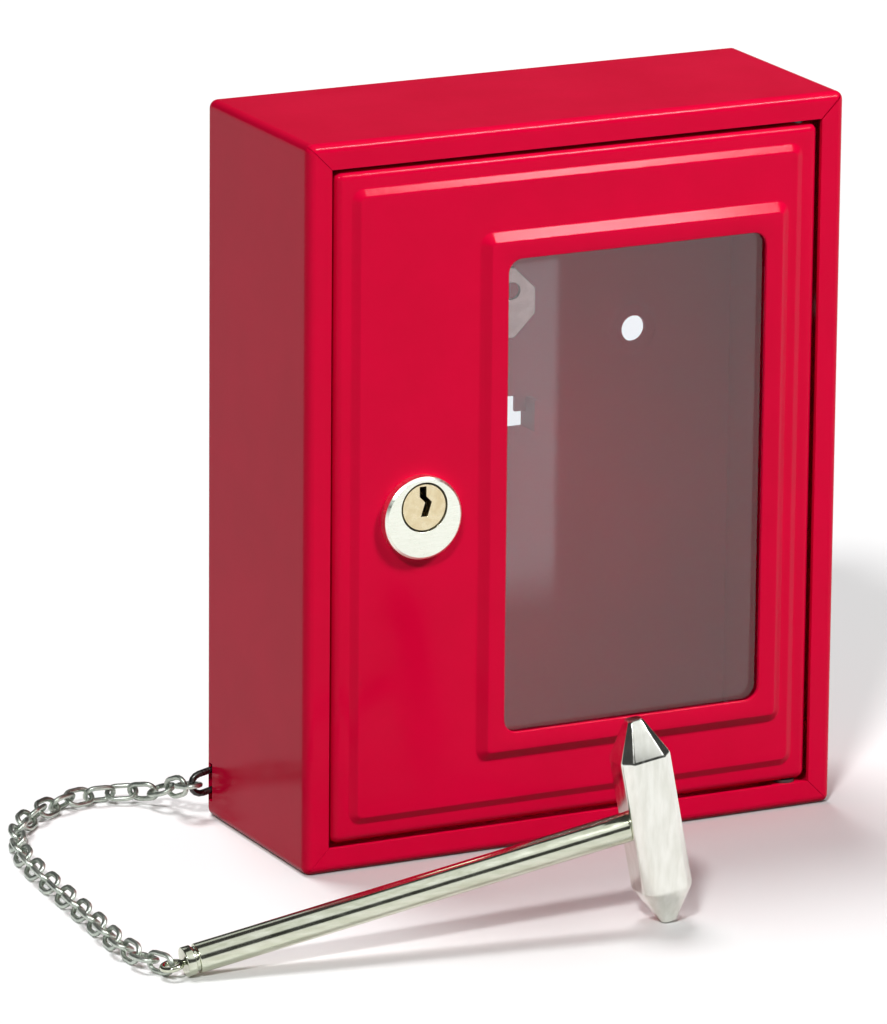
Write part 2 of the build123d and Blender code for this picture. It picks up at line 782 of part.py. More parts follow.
def all_pieces():
    """Every node's name and shape."""
    return {
        "case_shell": make_case_shell(),
        "strike_plate": make_strike_plate(),
        "hinge_bracket_upper": hinge_bracket(1),
        "hinge_bracket_lower": hinge_bracket(-1),
        "hinge_pin_upper": hinge_pin(1),
        "hinge_pin_lower": hinge_pin(-1),
        "hinge_washer": make_hinge_washer(),
        "chain_stud": make_chain_stud(),
        "chain_end_link": make_chain_end_link(),
        "chain_links": make_chain_links(),
        "door_panel": make_door_panel(),
        "glass_pane": make_glass_pane(),
        "pane_channel_right": make_channel_right(),
        "pane_channel_bottom": make_channel_bottom(),
        "pane_clip": make_pane_clip(),
        "clip_stud": make_clip_stud(),
        "clip_nut": make_clip_nut(),
        "lock_body": make_lock_body(),
        "lock_washer": make_lock_washer(),
        "lock_nut": make_lock_nut(),
        "driver_pins": make_driver_pins(),
        "pin_springs": make_pin_springs(),
        "chamber_strip": make_chamber_strip(),
        "lock_plug": make_lock_plug(),
        "key_pins": make_key_pins(),
        "lock_cam": make_lock_cam(),
        "cam_washer": make_cam_washer(),
        "cam_screw": make_cam_screw(),
        "hammer_handle": make_hammer_handle(),
        "hammer_head": make_hammer_head(),
        "hammer_eye": make_hammer_eye(),
    }


def main():
    os.makedirs("parts", exist_ok=True)
    for name, shape in all_pieces().items():
        export_step(shape, f"parts/{name}.step")
    pivot = hammer_pivot()
    print("hinge", hinge_x, hinge_y, "plug", lock_x, plug_z, "pivot", pivot.X, pivot.Y, pivot.Z)


main()
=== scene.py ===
# Break glass key box: red enamelled case, glazed door with a lock, and a hammer on a chain.
# The frame brings the CAD nodes. This file gives them their finishes, softens edges, and makes finer
# surfaces of the same sizes for door, chain and hammer. The pieces' sizes are in millimetres.
import json
import math

import bmesh
import bpy
import numpy as np
from mathutils import Matrix, Vector

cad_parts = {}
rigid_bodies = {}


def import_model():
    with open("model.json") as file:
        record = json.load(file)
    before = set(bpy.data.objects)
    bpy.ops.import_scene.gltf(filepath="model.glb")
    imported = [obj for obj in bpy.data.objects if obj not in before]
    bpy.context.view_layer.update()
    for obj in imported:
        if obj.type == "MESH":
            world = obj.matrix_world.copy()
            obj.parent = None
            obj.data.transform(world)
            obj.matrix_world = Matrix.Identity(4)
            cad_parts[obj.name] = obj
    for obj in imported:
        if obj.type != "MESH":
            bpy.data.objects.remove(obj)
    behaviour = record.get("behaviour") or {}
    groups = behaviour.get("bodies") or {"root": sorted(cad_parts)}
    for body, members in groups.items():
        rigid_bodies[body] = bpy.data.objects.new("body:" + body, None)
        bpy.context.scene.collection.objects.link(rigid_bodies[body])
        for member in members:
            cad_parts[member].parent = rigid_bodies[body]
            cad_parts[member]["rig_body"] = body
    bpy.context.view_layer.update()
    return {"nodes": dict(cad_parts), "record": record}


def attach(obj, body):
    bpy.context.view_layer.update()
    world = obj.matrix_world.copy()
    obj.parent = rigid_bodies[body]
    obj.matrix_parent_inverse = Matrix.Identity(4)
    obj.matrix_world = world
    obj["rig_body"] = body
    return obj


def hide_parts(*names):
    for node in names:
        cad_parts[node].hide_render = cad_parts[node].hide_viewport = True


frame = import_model()
mm = 0.001
meshSettings = {
    "weld": 1e-7,  # metres within which two points are one
    "flatAngle": 0.5, "sharpAngle": 35, "bevelAngle": 40, "bevelSegments": 2,
    "longestReach": 0.45,  # how much of a straight run one rounding may take
}


def gridQuads(rows, columns, closeRows, closeColumns):
    # cell (i, j) joins points i, i+1 and j, j+1, counted round where a direction closes
    i, j = np.meshgrid(np.arange(rows if closeRows else rows - 1),
                       np.arange(columns if closeColumns else columns - 1), indexing="ij")
    nextI, nextJ = (i + 1) % rows, (j + 1) % columns
    corners = [i * columns + j, i * columns + nextJ, nextI * columns + nextJ, nextI * columns + j]
    return np.stack([c.ravel() for c in corners], axis=1)


def openMesh(mesh):
    # the mesh opened for work, with its doubles merged
    work = bmesh.new()
    work.from_mesh(mesh)
    bmesh.ops.remove_doubles(work, verts=work.verts, dist=meshSettings["weld"])
    return work


def cleanMesh(name, points, faces, caps=()):
    # a new mesh from points in millimetres, with its doubles merged and its faces turned outwards
    mesh = bpy.data.meshes.new(name)
    allFaces = [list(map(int, face)) for face in [*faces, *caps]]
    mesh.from_pydata((np.asarray(points, float).reshape(-1, 3) * mm).tolist(), [], allFaces)
    work = openMesh(mesh)
    bmesh.ops.dissolve_degenerate(work, edges=work.edges, dist=meshSettings["weld"])
    bmesh.ops.recalc_face_normals(work, faces=work.faces)
    work.to_mesh(mesh)
    work.free()
    return mesh


def readPoints(mesh):
    # the mesh's points as rows of x, y and z in millimetres
    points = np.empty(3 * len(mesh.vertices))
    mesh.vertices.foreach_get("co", points)
    return points.reshape(-1, 3) / mm


def writePoints(mesh, points):
    mesh.vertices.foreach_set("co", (points * mm).ravel())


def shadeByAngle(mesh, degrees):
    # smooth faces, with the edges that turn by more than the angle kept sharp
    work = bmesh.new()
    work.from_mesh(mesh)
    for face in work.faces:
        face.smooth = True
    for edge in work.edges:
        edge.smooth = edge.calc_face_angle(math.pi) < math.radians(degrees)
    work.to_mesh(mesh)
    work.free()


def addPiece(name, mesh, material, body, nodes, sharpAngle=meshSettings["sharpAngle"]):
    # a finished mesh becomes a piece that rides its body and stands for its CAD nodes
    shadeByAngle(mesh, sharpAngle)
    piece = bpy.data.objects.new(name, mesh)
    bpy.context.scene.collection.objects.link(piece)
    mesh.materials.clear()
    mesh.materials.append(material)
    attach(piece, body)
    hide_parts(*nodes)
    return piece


def softenEdges(piece, width):
    # a small rounding on the piece's edges, with its flat faces kept flat in the light
    bevel = piece.modifiers.new("softEdges", "BEVEL")
    bevel.width, bevel.segments = width * mm, meshSettings["bevelSegments"]
    bevel.limit_method, bevel.angle_limit = "ANGLE", math.radians(meshSettings["bevelAngle"])
    bevel.harden_normals = True
    weighted = piece.modifiers.new("flatFaces", "WEIGHTED_NORMAL")
    weighted.keep_sharp = True


def dressNode(node, material):
    # a copy of a CAD node on the same body, with its triangles joined and its flat areas made whole
    mesh = frame["nodes"][node].data.copy()
    work = openMesh(mesh)
    flat = math.radians(meshSettings["flatAngle"])
    bmesh.ops.dissolve_limit(work, angle_limit=flat, verts=work.verts, edges=work.edges)
    work.to_mesh(mesh)
    work.free()
    return addPiece(node + "_finished", mesh, material, frame["nodes"][node]["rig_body"], [node])


def tube(path, radius, sides):
    # a circle carried round a flat closed path: point = path + radius * (cos a * up + sin a * side),
    # where up lies in the path's plane, square to the way, and side is square to that plane
    way = np.roll(path, -1, 0) - np.roll(path, 1, 0)
    way /= np.linalg.norm(way, axis=1, keepdims=True)
    up = np.cross(way, np.cross(path[1] - path[0], path[len(path) // 3] - path[0]))
    up /= np.linalg.norm(up, axis=1, keepdims=True)
    side = np.cross(way, up)
    turn = 2 * np.pi * np.arange(sides) / sides
    ring = np.cos(turn)[None, :, None] * up[:, None] + np.sin(turn)[None, :, None] * side[:, None]
    return path[:, None] + radius * ring, gridQuads(len(path), sides, True, True)


def lathe(profile, sides):
    # a profile of (x, r) turned about the X axis: point = (x, r cos a, r sin a);
    # it starts and ends on the axis
    profile = np.asarray(profile, float)
    turn = 2 * np.pi * np.arange(sides) / sides
    points = np.stack([np.repeat(profile[:, :1], sides, 1), profile[:, 1:] * np.cos(turn),
                       profile[:, 1:] * np.sin(turn)], axis=-1)
    return points, gridQuads(len(profile), sides, False, True)


def roundCorners(profile, radius, steps=4):
    # each inner point becomes a short curve: (1-t)^2 A + 2t(1-t) B + t^2 C, from A before it to C after it
    profile = np.asarray(profile, float)
    before, corner, after = profile[:-2], profile[1:-1], profile[2:]
    toBefore, toAfter = before - corner, after - corner
    lengthBefore = np.linalg.norm(toBefore, axis=1, keepdims=True)
    lengthAfter = np.linalg.norm(toAfter, axis=1, keepdims=True)
    reach = np.minimum(radius, meshSettings["longestReach"] * np.minimum(lengthBefore, lengthAfter))
    start, end = corner + toBefore / lengthBefore * reach, corner + toAfter / lengthAfter * reach
    t = np.linspace(0, 1, steps + 1)[None, :, None]
    curves = (1 - t) ** 2 * start[:, None] + 2 * t * (1 - t) * corner[:, None] + t ** 2 * end[:, None]
    return np.concatenate([profile[:1], curves.reshape(-1, profile.shape[1]), profile[-1:]])


noiseSettings = {"roughness": 0.55, "colourEdges": (0.35, 0.65), "glossEdges": (0.3, 0.7)}
enamelSettings = {
    "mottleScale": 60, "mottleDetail": 4, "specular": 0.06,
    "peelScale": 900, "peelDetail": 2, "peelStrength": 0.06, "peelDepth": 0.0002,
}
metalSettings = {"grainDetail": 4, "grainStrength": 0.03, "grainDepth": 0.0001}
glassSettings = {
    "tint": (0.84, 0.86, 0.90, 1), "roughness": 0.02, "ior": 1.55,
    # painted reflection: the glass is a little less clear on its upper left part, so a lighter strip shows
    # there
    "paintedReflection": 0.07, "paintedReflectionRight": (-4.0, -6.5), "paintedReflectionBottom": (48.0, 62.0),
}


def newMaterial(name):
    material = bpy.data.materials.new(name)
    material.use_nodes = True
    nodes, links = material.node_tree.nodes, material.node_tree.links
    return material, nodes, links, nodes["Principled BSDF"]


def addNoise(nodes, links, scale, detail, stretch=(1, 1, 1)):
    # noise on the piece's own coordinates, finer along an axis whose stretch is larger
    place = nodes.new("ShaderNodeTexCoord")
    mapping = nodes.new("ShaderNodeMapping")
    mapping.inputs["Scale"].default_value = stretch
    noise = nodes.new("ShaderNodeTexNoise")
    noise.inputs["Scale"].default_value = scale
    noise.inputs["Detail"].default_value = detail
    noise.inputs["Roughness"].default_value = noiseSettings["roughness"]
    links.new(place.outputs["Object"], mapping.inputs["Vector"])
    links.new(mapping.outputs["Vector"], noise.inputs["Vector"])
    return noise.outputs["Fac"]


def addRange(nodes, links, source, fromEdges, toEdges, target):
    # target runs from the first to the second of toEdges while source runs between fromEdges
    spread = nodes.new("ShaderNodeMapRange")
    spread.inputs["From Min"].default_value, spread.inputs["From Max"].default_value = fromEdges
    spread.inputs["To Min"].default_value, spread.inputs["To Max"].default_value = toEdges
    links.new(source, spread.inputs["Value"])
    links.new(spread.outputs["Result"], target)
    return spread


def addColourAndGloss(nodes, links, noise, low, high, roughness, shader):
    # the noise leads the colour from low to high and the roughness between its two values
    ramp = nodes.new("ShaderNodeValToRGB")
    for element, edge, colour in zip(ramp.color_ramp.elements, noiseSettings["colourEdges"], (low, high)):
        element.position, element.color = edge, (*colour, 1)
    links.new(noise, ramp.inputs["Fac"])
    links.new(ramp.outputs["Color"], shader.inputs["Base Color"])
    addRange(nodes, links, noise, noiseSettings["glossEdges"], roughness, shader.inputs["Roughness"])


def addBump(nodes, links, noise, strength, distance, shader):
    # the noise lifts the surface in the light alone, by the distance where it is 1
    bump = nodes.new("ShaderNodeBump")
    bump.inputs["Strength"].default_value = strength
    bump.inputs["Distance"].default_value = distance
    links.new(noise, bump.inputs["Height"])
    links.new(bump.outputs["Normal"], shader.inputs["Normal"])


def paintedSteel(name, low, high, roughness):
    # stoved enamel: a faint mottle in its colour and gloss, orange peel in its surface
    s = enamelSettings
    material, nodes, links, shader = newMaterial(name)
    mottle = addNoise(nodes, links, s["mottleScale"], s["mottleDetail"])
    addColourAndGloss(nodes, links, mottle, low, high, roughness, shader)
    peel = addNoise(nodes, links, s["peelScale"], s["peelDetail"])
    addBump(nodes, links, peel, s["peelStrength"], s["peelDepth"], shader)
    shader.inputs["Specular IOR Level"].default_value = s["specular"]
    return material


def metal(name, low, high, roughness, scale, stretch=(1, 1, 1)):
    # bare or plated metal with a faint grain, drawn out where it was brushed
    s = metalSettings
    material, nodes, links, shader = newMaterial(name)
    grain = addNoise(nodes, links, scale, s["grainDetail"], stretch)
    addColourAndGloss(nodes, links, grain, low, high, roughness, shader)
    addBump(nodes, links, grain, s["grainStrength"], s["grainDepth"], shader)
    shader.inputs["Metallic"].default_value = 1.0
    return material


def windowGlass():
    # clear glass with the faint grey of its thickness, and a painted reflection on its upper left part,
    # where it is a little less clear and so lighter
    s = glassSettings
    material, nodes, links, shader = newMaterial("windowGlass")
    shader.inputs["Base Color"].default_value = s["tint"]
    shader.inputs["Roughness"].default_value = s["roughness"]
    shader.inputs["IOR"].default_value = s["ior"]
    place, parts, paintedReflection = (nodes.new("ShaderNode" + kind) for kind in ("TexCoord", "SeparateXYZ", "Math"))
    links.new(place.outputs["Object"], parts.inputs["Vector"])
    paintedReflection.operation = "MULTIPLY"
    # the painted reflection's mask: the pane's left part times its upper part
    for slot, (axis, edges) in enumerate((("X", s["paintedReflectionRight"]), ("Z", s["paintedReflectionBottom"]))):
        edges = [edge * mm for edge in edges]
        fade = addRange(nodes, links, parts.outputs[axis], edges, (0, 1), paintedReflection.inputs[slot])
        fade.interpolation_type = "SMOOTHSTEP"
    clear = (1, 1 - s["paintedReflection"])
    addRange(nodes, links, paintedReflection.outputs["Value"], (0, 1), clear, shader.inputs["Transmission Weight"])
    return material


finishes = {
    "red_enamel": paintedSteel("redEnamel", (0.65, 0.001, 0.034), (0.69, 0.001, 0.038), (0.12, 0.17)),
    "red_bracket": paintedSteel("redBracket", (0.60, 0.001, 0.031), (0.64, 0.001, 0.035), (0.18, 0.24)),
    "zinc_steel": metal("zincSteel", (0.52, 0.53, 0.52), (0.68, 0.68, 0.66), (0.28, 0.40), 400),
    # zinc steel made darker and pink: painted shade inside the box, and painted red light from the enamel
    # around it
    "clip_steel_painted_shade": metal("clipSteelPaintedShade", (0.50, 0.33, 0.29), (0.64, 0.44, 0.39), (0.30, 0.42), 400),
    # painted shade: the hinge pins and washer made near black, so that they stay dark in the door's gap
    "pin_steel_painted_shade": metal("pinSteelPaintedShade", (0.08, 0.07, 0.07), (0.14, 0.12, 0.12), (0.45, 0.60), 400),
    "chain_steel": metal("chainSteel", (0.42, 0.47, 0.42), (0.60, 0.65, 0.58), (0.34, 0.46), 700),
    # painted shade: the end link by the case's side made near black, as it lies in shadow there
    "painted_shade_link": metal("paintedShadeLink", (0.05, 0.05, 0.05), (0.12, 0.12, 0.11), (0.22, 0.34), 700),
    "window_glass": windowGlass(),
    "lock_nickel": metal("lockNickel", (0.88, 0.91, 0.80), (0.95, 0.98, 0.88), (0.26, 0.34),
                         500, (1, 1, 8)),
    "lock_brass": metal("lockBrass", (0.72, 0.60, 0.36), (0.84, 0.74, 0.50), (0.20, 0.30), 600),
    "spring_steel": metal("springSteel", (0.50, 0.50, 0.50), (0.64, 0.64, 0.62), (0.25, 0.35), 600),
    "hammer_nickel": metal("hammerNickel", (0.56, 0.59, 0.46), (0.70, 0.73, 0.61), (0.10, 0.18),
                           160, (1, 6, 6)),
    "head_nickel": metal("headNickel", (0.76, 0.77, 0.70), (0.88, 0.89, 0.83), (0.10, 0.20),
                         160, (5, 5, 1)),
}
print("materials made")


cameraSettings = {
    "place": (-0.7689, -1.4976, 0.5288), "look": (0.432, 0.8615, -0.2667), "up": (0.1114, 0.2425, 0.9637),
    "lens": 301.9, "nearest": 0.05, "farthest": 50,
}


def makeCamera():
    # its axes are right = up x back, up = back x right, and back, against the way it looks
    s = cameraSettings
    back = -Vector(s["look"]).normalized()
    right = Vector(s["up"]).cross(back).normalized()
    turn = Matrix((right, back.cross(right), back)).transposed().to_4x4()
    camera = bpy.data.objects.new("camera", bpy.data.cameras.new("camera"))
    bpy.context.scene.collection.objects.link(camera)
    camera.matrix_world = Matrix.Translation(Vector(s["place"])) @ turn
    camera.data.lens, camera.data.clip_start, camera.data.clip_end = s["lens"], s["nearest"], s["farthest"]
    bpy.context.scene.camera = camera


lightSettings = {
    "keyFrom": (-0.46, -0.56, 0.69), "keyStrength": 1.6, "keySoftness": 7,
    "rearFrom": (-0.02, 0.60, 0.62), "rearStrength": 0.10, "rearSoftness": 25,
    "floorFrom": (-0.07, 0.33, 0.94), "floorStrength": 1.85, "floorSoftness": 22,
    "boxFrom": (0.43, -0.56, 0.71), "boxPower": 20.5, "boxSize": 0.32,
    "distance": 1.6, "aimHeight": 0.07,  # metres
}


def makeLamp(name, kind, way, strength):
    # the lamp stands at the distance in its direction from the aim, and shines back towards it
    lamp = bpy.data.objects.new(name, bpy.data.lights.new(name, kind))
    bpy.context.scene.collection.objects.link(lamp)
    way = Vector(way).normalized()
    lamp.rotation_euler = way.to_track_quat("Z", "Y").to_euler()
    lamp.location = way * lightSettings["distance"] + Vector((0, 0, lightSettings["aimHeight"]))
    lamp.data.energy = strength
    return lamp.data


def makeLights():
    # three wide suns, and a soft box from the right
    s = lightSettings
    for lamp in ("key", "rear", "floor"):
        sun = makeLamp(lamp + "Light", "SUN", s[lamp + "From"], s[lamp + "Strength"])
        sun.angle = math.radians(s[lamp + "Softness"])
    makeLamp("softBox", "AREA", s["boxFrom"], s["boxPower"]).size = s["boxSize"]


def seenRays(nodes, links):
    # 1 for what the camera, mirrors and glass see, 0 for light that falls on things
    rays = nodes.new("ShaderNodeLightPath")
    first, both = nodes.new("ShaderNodeMath"), nodes.new("ShaderNodeMath")
    for node in (first, both):
        node.operation = "MAXIMUM"
    links.new(rays.outputs["Is Camera Ray"], first.inputs[0])
    links.new(rays.outputs["Is Glossy Ray"], first.inputs[1])
    links.new(first.outputs[0], both.inputs[0])
    links.new(rays.outputs["Is Transmission Ray"], both.inputs[1])
    return both.outputs[0]


studioSettings = {
    "forObject": 0.15, "room": 0.05, "horizon": 1, "horizonEdge": (0.065, 0.10),
    "reflectorFrom": (0.24, -0.46, 0.86), "reflectorEdge": (0.83, 0.87), "reflector": 0.95,
}


def makeStudio():
    # camera, metal and glass see a white horizon, a dark room above it and a round white reflector
    s = studioSettings
    world = bpy.data.worlds.new("studio")
    bpy.context.scene.world = world
    world.use_nodes = True
    nodes, links = world.node_tree.nodes, world.node_tree.links
    direction, parts, nearness, studio = (nodes.new("ShaderNode" + kind)
                                          for kind in ("TexCoord", "SeparateXYZ", "VectorMath", "Math"))
    # nearness is the cosine of the angle to the reflector's middle
    nearness.operation, studio.operation = "DOT_PRODUCT", "MAXIMUM"
    nearness.inputs[1].default_value = Vector(s["reflectorFrom"]).normalized()
    links.new(direction.outputs["Generated"], parts.inputs["Vector"])
    links.new(direction.outputs["Generated"], nearness.inputs[0])
    addRange(nodes, links, parts.outputs["Z"], s["horizonEdge"], (s["horizon"], s["room"]),
             studio.inputs[0])
    addRange(nodes, links, nearness.outputs["Value"], s["reflectorEdge"], (s["room"], s["reflector"]),
             studio.inputs[1])
    # what is seen is the studio, and what falls on things is one plain level
    level = addRange(nodes, links, seenRays(nodes, links), (0, 1), (s["forObject"], 1),
                     nodes["Background"].inputs["Color"])
    links.new(studio.outputs["Value"], level.inputs["To Max"])


floorSettings = {"half": 6000, "shade": 0.25, "seenShade": 0.95, "glow": 0.01}


def makeFloor():
    # the floor keeps its shadow, and glows a little for the camera so that it is white outside it
    s = floorSettings
    corners = s["half"] * np.array([(-1, -1, 0), (1, -1, 0), (1, 1, 0), (-1, 1, 0)])
    mesh = cleanMesh("floor", corners, [(0, 1, 2, 3)])
    floor = bpy.data.objects.new("floor", mesh)
    bpy.context.scene.collection.objects.link(floor)
    material, nodes, links, shader = newMaterial("paleFloor")
    nodes.remove(shader)
    matt, glow, both = (nodes.new("ShaderNode" + kind) for kind in ("BsdfDiffuse", "Emission", "AddShader"))
    seen = seenRays(nodes, links)
    addRange(nodes, links, seen, (0, 1), (0, s["glow"]), glow.inputs["Strength"])
    addRange(nodes, links, seen, (0, 1), (s["shade"], s["seenShade"]), matt.inputs["Color"])
    links.new(matt.outputs["BSDF"], both.inputs[0])
    links.new(glow.outputs["Emission"], both.inputs[1])
    links.new(both.outputs["Shader"], nodes["Material Output"].inputs["Surface"])
    mesh.materials.append(material)
    # the soft box lights all but the floor, and the floor light lights nothing else
    for lamp, name, state in (("softBox", "unlitBySoftBox", "EXCLUDE"),
                              ("floorLight", "litByFloorLight", "INCLUDE")):
        linked = bpy.data.collections.new(name)
        linked.objects.link(floor)
        linked.collection_objects[0].light_linking.link_state = state
        bpy.data.objects[lamp].light_linking.receiver_collection = linked


makeCamera()
makeLights()
makeStudio()
makeFloor()
bpy.context.scene.view_settings.view_transform = "Standard"
print("camera, lights and floor made")


def paintNodes():
    # every CAD node gets its slot's finish, apart from the hinges' small steel, which is made near black:
    # painted shade for the pins and washer seen in the door's gap
    for part in frame["record"]["subparts"]:
        mesh = frame["nodes"][part["node"]].data
        mesh.materials.clear()
        mesh.materials.append(finishes[part["material_slot"]])
    for node in ("hinge_pin_upper", "hinge_pin_lower", "hinge_washer"):
        frame["nodes"][node].data.materials[0] = finishes["pin_steel_painted_shade"]


paintNodes()
print("CAD nodes painted")


caseSettings = {
    "halfWidth": 60.0, "height": 150.0, "rimDepth": -22.0, "edge": 0.10,
    "seam": 0.3, "paintedSeam": 0.08, "seamReach": 0.01, "openCorner": (1, 1),
}


def closeSeams(mesh):
    # the enamel has run into the rim's mitre seams, apart from the one that stands open:
    # a point that lies half a seam from a corner's diagonal moves towards it, square to it
    s = caseSettings
    points = readPoints(mesh)
    x, y, z = points.T
    half = s["height"] / 2
    side, level = np.sign(x), np.sign(z - half)
    fromSide, fromEnd = s["halfWidth"] - np.abs(x), half - np.abs(z - half)
    away = (fromSide - fromEnd) / math.sqrt(2)
    onSeam = (np.abs(np.abs(away) - s["seam"] / 2) < s["seamReach"]) & (y < s["rimDepth"])
    onSeam &= ~((side == s["openCorner"][0]) & (level == s["openCorner"][1]))
    shift = np.where(onSeam, np.sign(away) * (s["seam"] - s["paintedSeam"]) / 2, 0) / math.sqrt(2)
    points[:, 0] += side * shift
    points[:, 2] -= level * shift
    writePoints(mesh, points)
    print("seam points moved:", int(onSeam.sum()))


def makeCase():
    # the CAD shell with its seams closed and its edges softened
    case = dressNode("case_shell", finishes["red_enamel"])
    closeSeams(case.data)
    softenEdges(case, caseSettings["edge"])


makeCase()
print("case made")


doorSettings = {
    "left": -54.0, "right": 54.0, "bottom": 6.0, "top": 144.0, "front": -23.5,
    "sheet": 1.0, "returnDepth": 9.0, "bendRadius": 1.8, "bendSteps": 7,
    "border": 3.6, "panelRise": 1.0, "panelBevel": 1.6, "frameRise": 1.5, "frameBevel": 2.0,
    "frameMargin": 3.7, "stepCorner": 2.8,
    "windowLeft": -16.8, "windowRight": 41.2, "windowBottom": 25.3, "windowTop": 123.3, "windowCorner": 3.0,
    "crease": 0.55, "flatMargin": 0.9, "cornerSteps": 8, "sharpAngle": 50,
    "holeX": -35.6, "holeZ": 72.6, "holeDiameter": 15.8, "holeAcrossFlats": 14.0, "holeReach": 3.0,
    "holeSides": 64,
}


def doorStations():
    # stations of the pressed sheet as (left, right, bottom, top, corner radius, y), out and back again
    d = doorSettings
    door = np.array([d["left"], d["right"], d["bottom"], d["top"]])
    window = np.array([d["windowLeft"], d["windowRight"], d["windowBottom"], d["windowTop"]])
    inward = np.array([1, -1, 1, -1])
    front, sheet, bend, corner = d["front"], d["sheet"], d["bendRadius"], d["stepCorner"]
    panelY, frameY = front - d["panelRise"], front - d["panelRise"] - d["frameRise"]
    panelTop, margin = d["border"] + d["panelBevel"], d["flatMargin"]
    foot = d["frameMargin"] + d["frameBevel"]

    def station(rectangle, inset, radius, y):
        return [*(rectangle + inset * inward), radius, y]

    def steps(shift):
        return [station(door, d["border"], corner, front + shift),
                station(door, panelTop, corner - d["panelBevel"], panelY + shift),
                station(door, panelTop + margin, corner - d["panelBevel"], panelY + shift),
                station(window, -foot - margin, corner + margin, panelY + shift),
                station(window, -foot, corner, panelY + shift),
                station(window, -d["frameMargin"], corner - d["frameBevel"], frameY + shift)]

    turn = np.linspace(0, np.pi / 2, d["bendSteps"])
    outerBend = [station(door, bend * (1 - np.cos(a)), bend * np.cos(a), front + bend * (1 - np.sin(a)))
                 for a in turn]
    small = bend - sheet
    innerBend = [station(door, sheet + small * (1 - np.cos(a)), small * np.cos(a),
                         front + sheet + small * (1 - np.sin(a))) for a in turn[::-1]]
    depth = front + d["returnDepth"]
    outer = [station(door, 0, bend, depth)] + outerBend
    face = [outerBend[-1]] + steps(0)
    face += [station(window, 0, d["windowCorner"], y) for y in (frameY, frameY + sheet)]
    behind = steps(sheet)[::-1] + [innerBend[0]]
    face = roundCorners(face + behind, d["crease"])
    return np.concatenate([outer[:-1], face, innerBend[1:], [station(door, sheet, small, depth)]])


def rectangleLoops(stations, steps):
    # each station's rectangle with rounded corners, a quarter turn at each:
    # corner centre + radius * (cos a, sin a)
    left, right, bottom, top, radius, y = stations.T[..., None]
    a = np.linspace(0, np.pi / 2, steps)[None]
    across = [right - radius + radius * np.cos(a), left + radius - radius * np.sin(a),
              left + radius - radius * np.cos(a), right - radius + radius * np.sin(a)]
    up = [top - radius + radius * np.sin(a), top - radius + radius * np.cos(a),
          bottom + radius - radius * np.sin(a), bottom + radius - radius * np.cos(a)]
    x, z = np.concatenate(across, 1), np.concatenate(up, 1)
    return np.stack([x, np.broadcast_to(y, x.shape), z], axis=-1)


def cutWith(piece, points, faces, caps):
    # the shape of the points is taken away from the piece's mesh
    tool = bpy.data.objects.new("cutter", cleanMesh("cutter", points, faces, caps))
    bpy.context.scene.collection.objects.link(tool)
    cut = piece.modifiers.new("cut", "BOOLEAN")
    cut.operation, cut.solver, cut.object = "DIFFERENCE", "EXACT", tool
    bpy.context.view_layer.update()
    shape = bpy.data.meshes.new_from_object(piece.evaluated_get(bpy.context.evaluated_depsgraph_get()))
    piece.modifiers.remove(cut)
    piece.data = shape
    bpy.data.objects.remove(tool)


def makeDoor():
    # the stations' loops joined into one sheet, with the lock's hole cut through it:
    # a circle of (radius cos a, radius sin a) with two flats
    d = doorSettings
    loops = rectangleLoops(doorStations(), d["cornerSteps"])
    mesh = cleanMesh("doorPanel", loops, gridQuads(loops.shape[0], loops.shape[1], True, True))
    piece = addPiece("door_panel_finished", mesh, finishes["red_enamel"], "door",
                     ["door_panel"])
    sides, radius, half = d["holeSides"], d["holeDiameter"] / 2, d["holeAcrossFlats"] / 2
    turn = 2 * np.pi * np.arange(sides) / sides
    x = np.clip(radius * np.cos(turn), -half, half) + d["holeX"]
    z = radius * np.sin(turn) + d["holeZ"]
    rings = np.stack([np.stack([x, np.full(sides, y), z], -1)
                      for y in (d["front"] - d["holeReach"], d["front"] + d["holeReach"])])
    cutWith(piece, rings, gridQuads(2, sides, False, True), [range(sides), range(sides, 2 * sides)])
    shadeByAngle(piece.data, d["sharpAngle"])


clipSettings = {"edge": 0.15}


def makeClip():
    # the clip's darker, pinker steel is painted shade and painted red light
    clip = dressNode("pane_clip", finishes["clip_steel_painted_shade"])
    softenEdges(clip, clipSettings["edge"])


lockSettings = {
    "middleX": -35.6, "middleZ": 74.9,
    "discFace": -26.9, "discEdge": 0.08, "boreRadius": 4.95, "boreFlare": 0.15,
    "plugFace": -26.75, "plugEdge": 0.05, "plugRadius": 4.9, "plugTaper": -0.20,
    "rimReach": 0.08, "faceReach": 0.03,
}


def flareRim(piece, radius, face, change):
    # the ring of points of one radius on one face moves out or in: point * (1 + change / distance)
    s = lockSettings
    points = readPoints(piece.data)
    across, up = points[:, 0] - s["middleX"], points[:, 2] - s["middleZ"]
    distance = np.hypot(across, up)
    onRim = (np.abs(distance - radius) < s["rimReach"]) & (np.abs(points[:, 1] - face) < s["faceReach"])
    scale = np.where(onRim, 1 + change / np.maximum(distance, radius / 2), 1)
    points[:, 0], points[:, 2] = s["middleX"] + across * scale, s["middleZ"] + up * scale
    writePoints(piece.data, points)
    print(piece.name, "rim points moved:", int(onRim.sum()))


def makeLock():
    # the bore's rim is flared and the plug's is tapered, so that a dark ring shows between them
    s = lockSettings
    body = dressNode("lock_body", finishes["lock_nickel"])
    flareRim(body, s["boreRadius"], s["discFace"], s["boreFlare"])
    softenEdges(body, s["discEdge"])
    plug = dressNode("lock_plug", finishes["lock_brass"])
    flareRim(plug, s["plugRadius"], s["plugFace"], s["plugTaper"])
    softenEdges(plug, s["plugEdge"])


makeDoor()
makeClip()
makeLock()
print("door and lock made")


chainSettings = {
    "wire": 1.05, "length": 7.1, "width": 4.8, "endWire": 1.4, "endLength": 10.4, "endWidth": 5.6,
    "sides": 12, "bendSteps": 8, "sharpAngle": 80,
}


